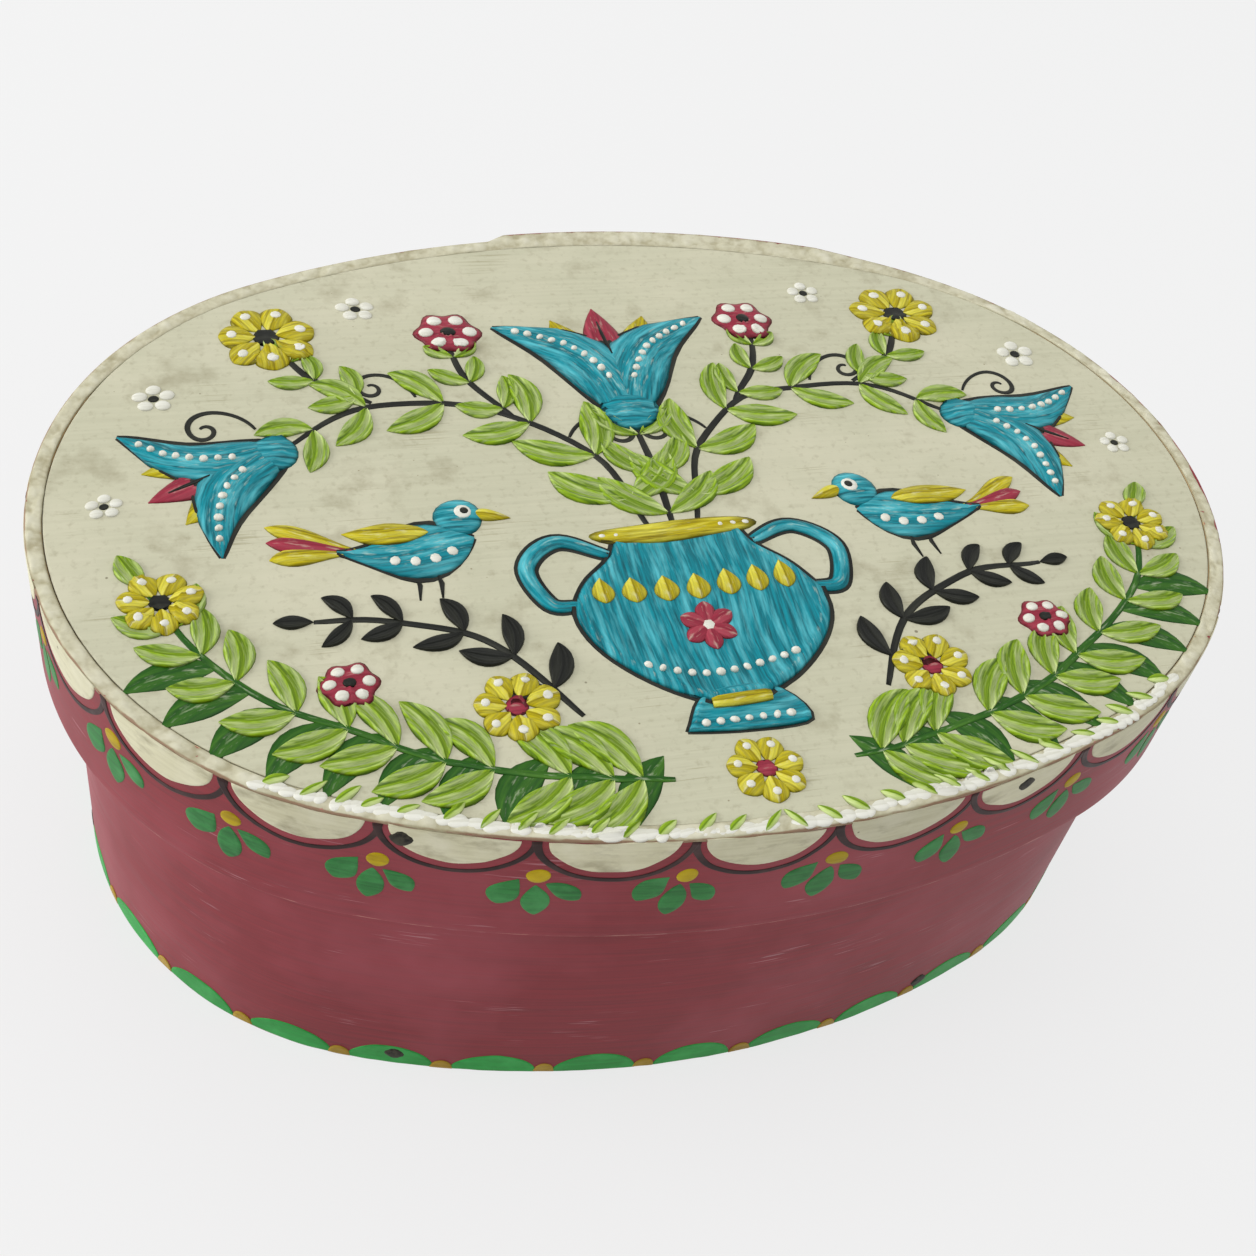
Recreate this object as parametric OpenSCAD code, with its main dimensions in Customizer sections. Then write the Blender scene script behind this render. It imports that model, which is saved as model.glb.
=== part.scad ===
// Oval bentwood box with a lift-off lid, in millimetres.
// The origin is the middle of the underside, +Z is up, X runs along the box and -Y is its front.
// Each half is one thin strip of wood, bent round an oval board, lapped onto itself at the back,
// tacked through the lap and pegged into the edge of the board.

/* [Oval] */
// Length over the lid band
lid_length = 200; // [160:1:260]
// Width over the lid band
lid_width = 140.6; // [112:0.2:180]
// Radius of the long sides, on the outside of the lid band
lid_side_radius = 162; // [140:1:240]

/* [Bands] */
// Height of the lid band
lid_height = 24; // [16:0.5:40]
// Height of the body band
body_height = 67.5; // [45:0.5:120]
// Thickness of the lid band
lid_band_t = 2.6; // [1.6:0.1:4]
// Thickness of the body band
body_band_t = 2.4; // [1.6:0.1:4]
// Gap between the lid band and the body band, on each side
lid_clearance = 2; // [0.3:0.1:2.5]

/* [Boards] */
// Thickness of the lid board
lid_board_t = 6; // [4:0.5:9]
// Thickness of the base board
base_board_t = 6.5; // [4:0.5:9]
// Gap between each board and the band round it
board_gap = 0.2; // [0.1:0.05:0.4]

/* [Laps] */
// Length of the lapped end of each strip
lap_length = 75; // [50:1:90]
// Length of the lap's start, over which it grows to its full thickness
lap_taper = 30; // [30:1:45]
// Full thickness of the lapped end
lap_step = 2.2; // [0.6:0.1:2.4]
// Place along X where the lapped end stops, at the back
lap_end_x = -15; // [-30:1:0]

/* [Pegs] */
// Diameter of the wooden pegs
peg_d = 3.2; // [1.6:0.1:4]
// Length of the wooden pegs
peg_length = 10; // [7:0.5:16]
// How far a peg's end lies below the face of the band
peg_inset = 0.2; // [0.1:0.05:0.5]
// Number of pegs round each board
peg_count = 6; // [4:1:10]
// Distance of the lid's first peg from the middle of the front, along the outline
lid_peg_start = -54; // [-90:1:90]
// Distance of the base's first peg from the middle of the front, along the outline
base_peg_start = -51; // [-90:1:90]
// Distance by which every other peg of the lid strays from even spacing
lid_peg_stray = 3.7; // [-12:0.1:12]
// Distance by which every other peg of the base strays from even spacing
base_peg_stray = 10; // [-12:0.1:12]

/* [Tacks] */
// Diameter of a tack's head
tack_head_d = 3; // [2:0.1:4]
// Thickness of a tack's head
tack_head_t = 0.7; // [0.5:0.1:1]
// How far a tack's head stands out of the band
tack_proud = 0.3; // [0.1:0.05:0.4]
// Diameter of a tack's shank
tack_shank_d = 1.2; // [0.8:0.1:1.6]
// Distance of the first column of tacks from the end of the lap
tack_margin = 6; // [4:0.5:10]
// Distance between the two columns of tacks
tack_pitch = 16; // [8:1:24]
// Tacks in each column on the lid
lid_tack_rows = 2; // [1:1:3]
// Tacks in each column on the body
body_tack_rows = 3; // [1:1:5]

/* [Fits] */
// Gap round a peg or a tack in its hole, and past its point
pin_fit = 0.05; // [0.02:0.01:0.15]

/* [Hidden] */
$fn = 96;

paint_red = "#8f3f4b";
paint_cream = "#cfcbb8";
bare_wood = "#c9a877";
dark_wood = "#4a3b30";

// The oval has four arcs: two side arcs about [0, side_centre] and [0, -side_centre],
// and two end arcs about [end_centre, 0] and [-end_centre, 0].
half_length = lid_length / 2;
half_width = lid_width / 2;
end_radius = (2 * lid_side_radius * half_width - half_width ^ 2 - half_length ^ 2)
             / (2 * (lid_side_radius - half_length));
end_centre = half_length - end_radius;
side_centre = lid_side_radius - half_width;
// Angle, at a side arc's centre, of the point where that arc meets an end arc
meet_angle = atan2(side_centre, end_centre);

// Offsets of the other walls from the outside of the lid band
lid_inside = -lid_band_t;
body_outside = lid_inside - lid_clearance;
body_inside = body_outside - body_band_t;

box_height = body_height + lid_board_t;
lid_bottom = box_height - lid_height;

// Angles of the lap about the back arc's centre. Its thin end is planed away up to lap_edge,
// where the strip is thick enough to hold an edge.
planed_share = 0.15;
lap_stop = 90 - asin(lap_end_x / lid_side_radius);
lap_start = lap_stop - degrees_of(lap_length, lid_side_radius);
lap_full = lap_start + degrees_of(lap_taper, lid_side_radius);
lap_edge = lap_start + planed_share * (lap_full - lap_start);
// Reach of the lap's wedge to each side of the wall
wedge_reach = 20;
// Length by which a peg's hole runs out past the wall, through a lap on it too
hole_reach = lap_step + 1;

function degrees_of(length, radius) = length / radius * 180 / PI;

// Distance by which the taper's own arc is centred behind the back arc's centre, so that the taper lies
// on a wall of the given radius at lap_start and has risen by rise at lap_full.
function taper_shift(radius, rise) =
    ((radius + rise) ^ 2 - radius ^ 2)
    / (2 * (radius - (radius + rise) * cos(lap_full - lap_start)));

// Lengths of half a side arc, of an end arc and of the whole outline, at an offset
function half_side(grow) = (lid_side_radius + grow) * (90 - meet_angle) * PI / 180;
function end_arc(grow) = (end_radius + grow) * 2 * meet_angle * PI / 180;
function outline(grow) = 4 * half_side(grow) + 2 * end_arc(grow);

// Place on the outline, a distance along it from the middle of the front towards +X:
// the centre and the radius of its arc, and the direction of the wall's outward normal.
function place(grow, distance) =
    let (
        side = lid_side_radius + grow,
        end = end_radius + grow,
        first = half_side(grow),
        second = first + end_arc(grow),
        third = second + 2 * half_side(grow),
        fourth = third + end_arc(grow),
        at = distance - floor(distance / outline(grow)) * outline(grow)
    )
    at < first ? [[0, side_centre], side, -90 + degrees_of(at, side)] :
    at < second ? [[end_centre, 0], end, -meet_angle + degrees_of(at - first, end)] :
    at < third ? [[0, -side_centre], side, meet_angle + degrees_of(at - second, side)] :
    at < fourth ? [[-end_centre, 0], end, 180 - meet_angle + degrees_of(at - third, end)] :
    [[0, side_centre], side, 180 + meet_angle + degrees_of(at - fourth, side)];

// Oval outline at an offset from the outside of the lid band
module oval(grow) {
    meet_x = end_centre + (end_radius + grow) * cos(meet_angle);
    intersection() {
        translate([0, side_centre]) circle(r = lid_side_radius + grow);
        translate([0, -side_centre]) circle(r = lid_side_radius + grow);
        square([2 * meet_x, 2 * lid_width], center = true);
    }
    for (side = [-1, 1])
        translate([side * end_centre, 0]) circle(r = end_radius + grow);
}

// Wedge over the lap's stretch of the wall, widened by spread at the lap's thick end
module lap_wedge(spread = 0) {
    near = lid_side_radius - wedge_reach;
    far = lid_side_radius + wedge_reach;
    stop = lap_stop + degrees_of(spread, near);
    translate([0, -side_centre])
        polygon([for (corner = [[near, lap_edge], [far, lap_edge], [far, stop], [near, stop]])
            corner[0] * [cos(corner[1]), sin(corner[1])]]);
}

// Disc whose rim is the face of the lap's taper
module taper_disc(radius, rise, grow = 0) {
    shift = taper_shift(radius, rise);
    translate([0, -side_centre] - shift * [cos(lap_start), sin(lap_start)])
        circle(r = radius + shift + grow);
}

// Disc whose rim is the lap's face beyond the taper
module full_disc(radius, rise, grow = 0) {
    translate([0, -side_centre])
        circle(r = radius + rise + grow);
}

// Stretch of the wall that the lap thickens outwards, on the lid
module outer_lap() {
    intersection() {
        lap_wedge();
        taper_disc(lid_side_radius, lap_step);
        full_disc(lid_side_radius, lap_step);
    }
}

// Stretch of the wall that the lap thickens inwards, on the body, with a gap left round it
module inner_lap(gap = 0) {
    difference() {
        lap_wedge(gap);
        taper_disc(lid_side_radius + body_inside, -lap_step, -gap);
        full_disc(lid_side_radius + body_inside, -lap_step, -gap);
    }
}

// Turns +X to the outward normal at a place of the outline, with the wall's face at x = 0
module at_wall(grow, distance, z) {
    spot = place(grow, distance);
    translate([spot[0][0], spot[0][1], z])
        rotate([0, 0, spot[2]])
            translate([spot[1], 0, 0])
                children();
}

// Every peg's place round a board
module at_pegs(grow, start, stray, z) {
    for (i = [0 : peg_count - 1])
        at_wall(grow, start + i * outline(grow) / peg_count + (i % 2) * stray, z)
            children();
}

// Peg, driven inwards from the wall's face
module peg() {
    translate([-peg_inset, 0, 0])
        rotate([0, -90, 0])
            cylinder(d = peg_d, h = peg_length);
}

// Hole for a peg
module peg_hole() {
    translate([hole_reach, 0, 0])
        rotate([0, -90, 0])
            cylinder(d = peg_d + 2 * pin_fit, h = hole_reach + peg_inset + peg_length + pin_fit);
}

// Every tack's place on the full part of a lap, over a height from low to high, with x measured from the
// back arc's centre
module at_tacks(rows, low, high) {
    for (column = [0, 1], row = [0 : rows - 1]) {
        back_off = tack_margin + column * tack_pitch;
        translate([0, -side_centre, low + (row + 0.5) * (high - low) / rows])
            rotate([0, 0, lap_stop - degrees_of(back_off, lid_side_radius)])
                children();
    }
}

// Tack between the radius of its point and that of the face under its head, or, with a fit, its hole
module tack(point, face, fit = 0) {
    head_top = face + tack_proud;
    head_middle = head_top - tack_head_t / 2;
    tip = point + pin_fit - 2 * fit;
    rotate([0, 90, 0]) {
        translate([0, 0, tip])
            cylinder(d = tack_shank_d + 2 * fit, h = head_middle - tip);
        translate([0, 0, head_top - tack_head_t - fit])
            cylinder(d = tack_head_d + 2 * fit, h = tack_head_t + 2 * fit);
    }
}

module lid_tack(fit = 0) {
    tack(lid_side_radius + lid_inside, lid_side_radius + lap_step, fit);
}

module body_tack(fit = 0) {
    tack(lid_side_radius + body_inside - lap_step, lid_side_radius + body_outside, fit);
}

module at_lid_tacks() { at_tacks(lid_tack_rows, lid_bottom, body_height) children(); }
module at_body_tacks() { at_tacks(body_tack_rows, base_board_t, lid_bottom) children(); }

module at_lid_pegs() {
    at_pegs(0, lid_peg_start, lid_peg_stray, box_height - lid_board_t / 2) children();
}

module at_base_pegs() {
    at_pegs(body_outside, base_peg_start, base_peg_stray, base_board_t / 2) children();
}

module base_board() {
    color(bare_wood)
        difference() {
            linear_extrude(base_board_t)
                difference() {
                    oval(body_inside - board_gap);
                    inner_lap(board_gap);
                }
            at_base_pegs() peg_hole();
        }
}

module body_band() {
    color(paint_red)
        difference() {
            linear_extrude(body_height)
                difference() {
                    oval(body_outside);
                    difference() {
                        oval(body_inside);
                        inner_lap();
                    }
                }
            at_base_pegs() peg_hole();
            at_body_tacks() body_tack(pin_fit);
        }
}

module base_pegs() {
    color(dark_wood) at_base_pegs() peg();
}

module body_tacks() {
    color(paint_red) at_body_tacks() body_tack();
}

module lid_board() {
    color(paint_cream)
        difference() {
            translate([0, 0, body_height])
                linear_extrude(lid_board_t)
                    oval(lid_inside - board_gap);
            at_lid_pegs() peg_hole();
        }
}

module lid_band() {
    color(paint_red)
        difference() {
            translate([0, 0, lid_bottom])
                linear_extrude(lid_height)
                    difference() {
                        union() {
                            oval(0);
                            outer_lap();
                        }
                        oval(lid_inside);
                    }
            at_lid_pegs() peg_hole();
            at_lid_tacks() lid_tack(pin_fit);
        }
}

module lid_pegs() {
    color(dark_wood) at_lid_pegs() peg();
}

module lid_tacks() {
    color(paint_red) at_lid_tacks() lid_tack();
}

base_board();
body_band();
base_pegs();
body_tacks();
lid_board();
lid_band();
lid_pegs();
lid_tacks();
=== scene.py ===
"""Looks of an oval bentwood box with a lift-off lid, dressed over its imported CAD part.

Lengths are in millimetres until a mesh is made. Distances round the box run along the outside of the
lid band from the middle of the front towards +X, as in the part's source.
"""

import math

import bpy
from mathutils import Matrix, Vector, noise
from mathutils.bvhtree import BVHTree


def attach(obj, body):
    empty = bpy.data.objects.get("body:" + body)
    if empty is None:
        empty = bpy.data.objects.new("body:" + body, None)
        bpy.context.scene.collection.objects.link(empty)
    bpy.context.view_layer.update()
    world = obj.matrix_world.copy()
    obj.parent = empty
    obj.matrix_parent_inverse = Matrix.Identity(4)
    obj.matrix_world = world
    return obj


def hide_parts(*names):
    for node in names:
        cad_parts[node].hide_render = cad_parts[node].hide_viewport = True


MM = 0.001
UP = Vector((0.0, 0.0, 1.0))

# Sizes of the part, as in its source
HALF_LENGTH = 100.0
HALF_WIDTH = 70.3
SIDE_RADIUS = 162.0
LID_HEIGHT = 24.0
BODY_HEIGHT = 67.5
LID_BAND = 2.6
BODY_BAND = 2.4
CLEARANCE = 2.0
LID_BOARD = 6.0
BASE_BOARD = 6.5
BOARD_GAP = 0.2
LAP_STEP = 2.2
LAP_END_X = -15.0
PEG_COUNT = 6
PEG_RADIUS = 1.6
PEG_LENGTH = 10.0
LID_PEG_START = -54.0
LID_PEG_STRAY = 3.7
BASE_PEG_START = -51.0
BASE_PEG_STRAY = 10.0

BOX_HEIGHT = BODY_HEIGHT + LID_BOARD
LID_BOTTOM = BOX_HEIGHT - LID_HEIGHT
LID_INSIDE = -LID_BAND
BODY_OUTSIDE = LID_INSIDE - CLEARANCE
BODY_INSIDE = BODY_OUTSIDE - BODY_BAND

# Four arcs of the outline: length, centre, radius and the direction in which each starts
END_RADIUS = 2 * SIDE_RADIUS * HALF_WIDTH - HALF_WIDTH**2 - HALF_LENGTH**2
END_RADIUS /= 2 * (SIDE_RADIUS - HALF_LENGTH)
END_CENTRE = HALF_LENGTH - END_RADIUS
SIDE_CENTRE = SIDE_RADIUS - HALF_WIDTH
MEET = math.atan2(SIDE_CENTRE, END_CENTRE)
HALF_SIDE = SIDE_RADIUS * (math.pi / 2 - MEET)
END_ARC = END_RADIUS * 2 * MEET
ARCS = (
    (HALF_SIDE, Vector((0, SIDE_CENTRE)), SIDE_RADIUS, -math.pi / 2),
    (END_ARC, Vector((END_CENTRE, 0)), END_RADIUS, -MEET),
    (2 * HALF_SIDE, Vector((0, -SIDE_CENTRE)), SIDE_RADIUS, MEET),
    (END_ARC, Vector((-END_CENTRE, 0)), END_RADIUS, math.pi - MEET),
    (HALF_SIDE, Vector((0, SIDE_CENTRE)), SIDE_RADIUS, math.pi + MEET),
)
PERIMETER = sum(arc[0] for arc in ARCS)
LAP_STOP = PERIMETER / 2 - SIDE_RADIUS * math.asin(LAP_END_X / SIDE_RADIUS)

# Make of the bent strips
EDGE_ROUND = 0.25
CORNER_STEPS = 4
WEAR_FADE = 1.1
WARP = 0.1
WARP_SPAN = 42.0
SEAM = 0.08
BAND_STATIONS = 540
GUIDE_STATIONS = 730
# Lap as it shows: worn to a bevel where it ends, and faired in further round than the part's
LAP_LENGTH = 95.0
LAP_TAPER = 30.0
LAP_BEVEL = 3.5
LAP_WORN = 0.75

# Make of the rim's paste: the spans of its ragged edge, swells, patches, crumbs and grains, how high
# its crumbs stand, and the share of half the length beyond which it is chipped
RIM_STATIONS = 1220
RAGGED_SPAN = 2.4
SWELL_SPAN = 12.0
PATCH_SPAN = 15.0
CRUMB_SPAN = 2.3
GRAIN_SPAN = 0.7
CRUMB_HEIGHT = 0.75
CHIPPED_FROM = 0.95

# Make of the whittled pegs: sides, and a profile of places along the peg and shares of its radius
PEG_SIDES = 16
PEG_PROFILE = ((-PEG_LENGTH, 1.0), (-0.05, 1.0), (0.1, 0.93), (0.17, 0.55))

# Make of the painted shapes: sections from the middle to the edge, as shares of half the width and of
# the height
SUNK = 0.04
DOMED = ((0.0, 1.0), (0.35, 0.95), (0.62, 0.8), (0.85, 0.5), (1.0, 0.0))
FLAT = ((0.0, 1.0), (0.3, 1.0), (0.6, 1.0), (0.9, 0.9), (1.0, 0.0))
VEINED = ((0.0, 0.85), (0.14, 0.38), (0.55, 0.42), (0.78, 1.0), (0.92, 0.8), (1.0, 0.0))
RIMMED = ((0.0, 0.6), (0.5, 0.6), (0.86, 0.55), (0.92, 1.0), (0.97, 0.8), (1.0, 0.0))
LEAF_STEPS = 14

# Oil paint, whose sheen has dulled with age
PAINT_IOR = 1.48
PAINT_SHEEN = 0.15
# Depth of the bristles' furrows in the paint and of the fibres in planed wood
HAIR_DEPTH = 0.04
FIBRE_DEPTH = 0.05

# Sockets of the Mix node in its colour mode
FACTOR, FIRST, SECOND, MIXED = 0, 6, 7, 2


def outline_length(track):
    """Length of the outline offset outwards by track."""
    return PERIMETER + 2 * math.pi * track


def wall(distance, grow=0.0, track=0.0):
    """Point offset outwards by grow, and the outward normal, at a distance along the outline.

    The distance is measured along the outline offset by track.
    """
    left = distance % outline_length(track)
    for length, centre, radius, start in ARCS:
        stretch = length * (radius + track) / radius
        if left <= stretch:
            break
        left -= stretch
    angle = start + left / (radius + track)
    normal = Vector((math.cos(angle), math.sin(angle)))
    return centre + normal * (radius + grow), normal


def lap_rise(distance):
    """Thickness that the lapped end adds to a strip."""
    behind = (LAP_STOP - distance) % PERIMETER
    end = min(1.0, behind / LAP_BEVEL)
    worn = LAP_WORN + (1 - LAP_WORN) * min(1.0, behind / (LAP_LENGTH - LAP_TAPER))
    start = min(1.0, max(0.0, LAP_LENGTH - behind) / LAP_TAPER)
    return LAP_STEP * end * worn * start**2


def warp(distance, layer):
    """Small unevenness of a bent strip."""
    point = wall(distance)[0] / WARP_SPAN
    return WARP * noise.noise(Vector((point.x, point.y, layer)))


def lid_face(distance):
    """Offset of the lid band's outer face."""
    return lap_rise(distance) + warp(distance, 1.5)


def lid_lining(distance):
    """Offset of the lid band's inner face."""
    return LID_INSIDE


def body_face(distance):
    """Offset of the body band's outer face."""
    return BODY_OUTSIDE + warp(distance, 4.5)


def body_lining(distance):
    """Offset of the body band's inner face."""
    return BODY_INSIDE - lap_rise(distance)


def lid_board_edge(distance):
    """Offset of the lid board's edge, which the paint has brought up to the band."""
    return LID_INSIDE - SEAM


def base_board_edge(distance):
    """Offset of the base board's edge, which is cut back for the lap."""
    return body_lining(distance) - BOARD_GAP


def linear(code):
    """Linear colour of an sRGB hex value."""
    parts = [int(code[i : i + 2], 16) / 255 for i in (1, 3, 5)]
    return tuple(c / 12.92 if c <= 0.04045 else ((c + 0.055) / 1.055) ** 2.4 for c in parts) + (1.0,)


def add(tree, kind, inputs=None, **settings):
    """Adds a node with its settings.

    An input is linked to a socket, or given a value or a hex colour.
    """
    node = tree.nodes.new(kind)
    for name, value in settings.items():
        setattr(node, name, value)
    for key, value in (inputs or {}).items():
        if isinstance(value, bpy.types.NodeSocket):
            tree.links.new(value, node.inputs[key])
        elif isinstance(value, str) and value.startswith("#"):
            node.inputs[key].default_value = linear(value)
        else:
            node.inputs[key].default_value = value
    return node


def mottle(tree, place, sizes, detail=4.0):
    """Cloudy pattern whose clouds have the given sizes, in millimetres, along the three axes."""
    scale = [1.0 / (size * MM) for size in sizes]
    drawn = add(tree, "ShaderNodeMapping", {"Vector": place, "Scale": scale}).outputs["Vector"]
    inputs = {"Vector": drawn, "Scale": 1.0, "Detail": detail, "Roughness": 0.6}
    return add(tree, "ShaderNodeTexNoise", inputs).outputs["Fac"]


def over(tree, under, colour, pattern, low, high, most=1.0):
    """Lays a colour over another where a pattern goes from low to high, up to the share most."""
    inputs = {"Value": pattern, "From Min": low, "From Max": high, "To Max": most}
    share = add(tree, "ShaderNodeMapRange", inputs).outputs["Result"]
    inputs = {FACTOR: share, FIRST: under, SECOND: colour}
    return add(tree, "ShaderNodeMix", inputs, data_type="RGBA").outputs[MIXED]


def new_finish(name, coords="Object"):
    """New material, with its node tree, its shader and the coordinates that its patterns read."""
    material = bpy.data.materials.new(name)
    material.use_nodes = True
    tree = material.node_tree
    place = add(tree, "ShaderNodeTexCoord").outputs[coords]
    return material, tree, tree.nodes["Principled BSDF"], place


def brushed_paint(
    name, shades, hairs, clouds, roughness, coords="Object", layers=(), sheen=PAINT_SHEEN
):
    """Paint laid on by brush: the bristles leave long streaks, and the coat is thin in some places.

    The shades are deep, body and light. hairs and clouds give the size of a streak and of a thin place
    along the three axes, in millimetres. Each layer takes the tree, the coordinates and the colour so
    far, and gives the colour with its mark.
    """
    deep, body, light = shades
    material, tree, shader, place = new_finish(name, coords)
    streaks = mottle(tree, place, hairs, 6.0)
    colour = over(tree, deep, body, streaks, 0.32, 0.62)
    colour = over(tree, colour, light, mottle(tree, place, clouds), 0.46, 0.74, 0.85)
    for layer in layers:
        colour = layer(tree, place, colour)
    tree.links.new(colour, shader.inputs["Base Color"])
    inputs = {"Value": streaks, "From Min": 0.2, "From Max": 0.8}
    inputs |= {"To Min": roughness - 0.07, "To Max": roughness + 0.09}
    spread = add(tree, "ShaderNodeMapRange", inputs).outputs["Result"]
    tree.links.new(spread, shader.inputs["Roughness"])
    bump = add(tree, "ShaderNodeBump", {"Height": streaks, "Strength": 0.6, "Distance": HAIR_DEPTH * MM})
    tree.links.new(bump.outputs["Normal"], shader.inputs["Normal"])
    shader.inputs["IOR"].default_value = PAINT_IOR
    shader.inputs["Specular IOR Level"].default_value = sheen
    return material


def worn_edges(shade, low, high):
    """Layer: the coat is rubbed through along the edges, to a ground of the given shade."""

    def layer(tree, place, colour):
        worn = add(tree, "ShaderNodeAttribute", attribute_name="wear").outputs["Fac"]
        inputs = {0: worn, 1: mottle(tree, place, (5.0, 5.0, 0.9))}
        rubbed = add(tree, "ShaderNodeMath", inputs, operation="MULTIPLY").outputs[0]
        return over(tree, colour, shade, rubbed, low, high, 0.75)

    return layer


def scratches(shade, sizes, most):
    """Layer: a few fine lines, each about as long and as thin as the sizes say."""

    def layer(tree, place, colour):
        lines = mottle(tree, place, sizes, 2.0)
        patches = mottle(tree, place, (14.0, 14.0, 5.0), 1.0)
        inputs = {0: lines, 1: patches}
        both = add(tree, "ShaderNodeMath", inputs, operation="MULTIPLY").outputs[0]
        return over(tree, colour, shade, both, 0.4, 0.46, most)

    return layer


def spots(shade, spacing, rarity, size):
    """Layer of small spots, such as dirt or chips.

    Each cell of the given spacing holds one, unless rarity leaves it out.
    """

    def layer(tree, place, colour):
        inputs = {"Vector": place, "Scale": 1.0 / (spacing * MM)}
        cells = add(tree, "ShaderNodeTexVoronoi", inputs).outputs
        chosen = add(tree, "ShaderNodeSeparateColor", {"Color": cells["Color"]}).outputs["Red"]
        inputs = {"Value": chosen, "From Min": rarity, "To Max": size / spacing}
        reach = add(tree, "ShaderNodeMapRange", inputs).outputs["Result"]
        inputs = {0: reach, 1: cells["Distance"]}
        inside = add(tree, "ShaderNodeMath", inputs, operation="SUBTRACT").outputs[0]
        return over(tree, colour, shade, inside, 0.0, 0.25 * size / spacing, 0.8)

    return layer


def grime(size, low, most):
    """Layer: soft grey-brown soiling in patches of the given size."""

    def layer(tree, place, colour):
        patches = mottle(tree, place, (size, size, size / 2), 5.0)
        return over(tree, colour, "#8b8368", patches, low, low + 0.2, most)

    return layer


def seam_shade_and_dirt(tree, place, colour):
    """Layer: the board's edge is painted dark below its top, as painted shade in the seam round the
    board and as dirt settled there.
    """
    height = add(tree, "ShaderNodeSeparateXYZ", {"Vector": place}).outputs["Z"]
    return over(tree, colour, "#35302a", height, (BOX_HEIGHT - 0.1) * MM, (BOX_HEIGHT - 0.25) * MM)


def hollows(tree, place, colour):
    """Layer: the crumbs of the rim are rubbed pale, and dirt lies between them in places."""
    crest = add(tree, "ShaderNodeAttribute", attribute_name="crest").outputs["Fac"]
    colour = over(tree, colour, "#d6d3c0", crest, 0.5, 1.0, 0.6)
    soil = mottle(tree, place, (5.0, 5.0, 5.0), 6.0)
    caught = add(tree, "ShaderNodeMath", {0: soil, 1: crest}, operation="SUBTRACT").outputs[0]
    return over(tree, colour, "#8c8260", caught, 0.05, 0.45, 0.65)


def crests(tree, place, colour):
    """Layer: raised paint is rubbed pale on its ridges, and is darker towards its edges and in its
    grooves.
    """
    crest = add(tree, "ShaderNodeAttribute", attribute_name="crest").outputs["Fac"]
    colour = over(tree, colour, "#0f1c14", crest, 0.62, 0.1, 0.5)
    broken = mottle(tree, place, (3.0, 0.6, 1.0), 3.0)
    rubbed = add(tree, "ShaderNodeMath", {0: broken, 1: crest}, operation="MULTIPLY").outputs[0]
    return over(tree, colour, "#d6d9c0", rubbed, 0.52, 0.72, 0.4)


def uneven_tone(tree, place, colour):
    """Layer: one motif is a little darker than the next, as the brush empties."""
    tint = add(tree, "ShaderNodeAttribute", attribute_name="tint").outputs["Fac"]
    return over(tree, colour, "#2c2a28", tint, 0.0, 1.0, 0.2)


def softwood(name, pale, ring, grain, roughness):
    """Planed wood: darker rings in pale wood, dry and matt. grain is a ring's size in millimetres."""
    material, tree, shader, place = new_finish(name)
    fibres = mottle(tree, place, [size / 6 for size in grain], 2.0)
    colour = over(tree, pale, ring, mottle(tree, place, grain, 3.0), 0.42, 0.66)
    colour = over(tree, colour, ring, fibres, 0.5, 0.8, 0.4)
    tree.links.new(colour, shader.inputs["Base Color"])
    bump = add(tree, "ShaderNodeBump", {"Height": fibres, "Strength": 0.5, "Distance": FIBRE_DEPTH * MM})
    tree.links.new(bump.outputs["Normal"], shader.inputs["Normal"])
    shader.inputs["Roughness"].default_value = roughness
    shader.inputs["Specular IOR Level"].default_value = PAINT_SHEEN
    return material


def make_piece(name, points, faces, materials, face_slots=None, marks=None, flow=None):
    """Object of a mesh in millimetres, with its point attributes and the way its brush went."""
    mesh = bpy.data.meshes.new(name)
    mesh.from_pydata([Vector(point) * MM for point in points], [], faces)
    mesh.polygons.foreach_set("use_smooth", [True] * len(faces))
    for material in materials:
        mesh.materials.append(material)
    if face_slots:
        mesh.polygons.foreach_set("material_index", face_slots)
    for mark, values in (marks or {}).items():
        mesh.attributes.new(mark, "FLOAT", "POINT").data.foreach_set("value", values)
    if flow:
        layer = mesh.uv_layers.new(name="flow")
        for loop in mesh.loops:
            layer.data[loop.index].uv = Vector(flow[loop.vertex_index]) * MM
    piece = bpy.data.objects.new(name, mesh)
    bpy.context.collection.objects.link(piece)
    return piece


def settle(piece, body, slot, *nodes):
    """Puts a finished piece on its body and hides the CAD nodes that it stands for; its slot is not
    used.
    """
    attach(piece, body)
    if nodes:
        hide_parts(*nodes)


def strip_section(outer, inner, low, high):
    """Section of a bent strip with rounded corners, from its outer foot up and over.

    Each point is (grow, z, wear, lining).
    """
    r = EDGE_ROUND
    corners = (
        (outer - r, low + r, -90, ((outer, low + WEAR_FADE), (outer, high - WEAR_FADE))),
        (outer - r, high - r, 0, ()),
        (inner + r, high - r, 90, ((inner, high - WEAR_FADE), (inner, low + WEAR_FADE))),
        (inner + r, low + r, 180, ()),
    )
    section = []
    for number, (grow, z, start, wall_points) in enumerate(corners):
        lining = number >= 2
        for step in range(CORNER_STEPS + 1):
            angle = math.radians(start + 90 * step / CORNER_STEPS)
            section.append((grow + r * math.cos(angle), z + r * math.sin(angle), 1.0, lining))
        section += [(wall_grow, wall_z, 0.0, lining) for wall_grow, wall_z in wall_points]
    return section


def tube_faces(stations, around):
    """Faces of a closed tube whose stations each have a closed section of around points."""
    faces = []
    for i in range(stations):
        here = i * around
        ahead = (i + 1) % stations * around
        for j in range(around):
            up = (j + 1) % around
            faces.append((here + j, ahead + j, ahead + up, here + up))
    return faces


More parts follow.
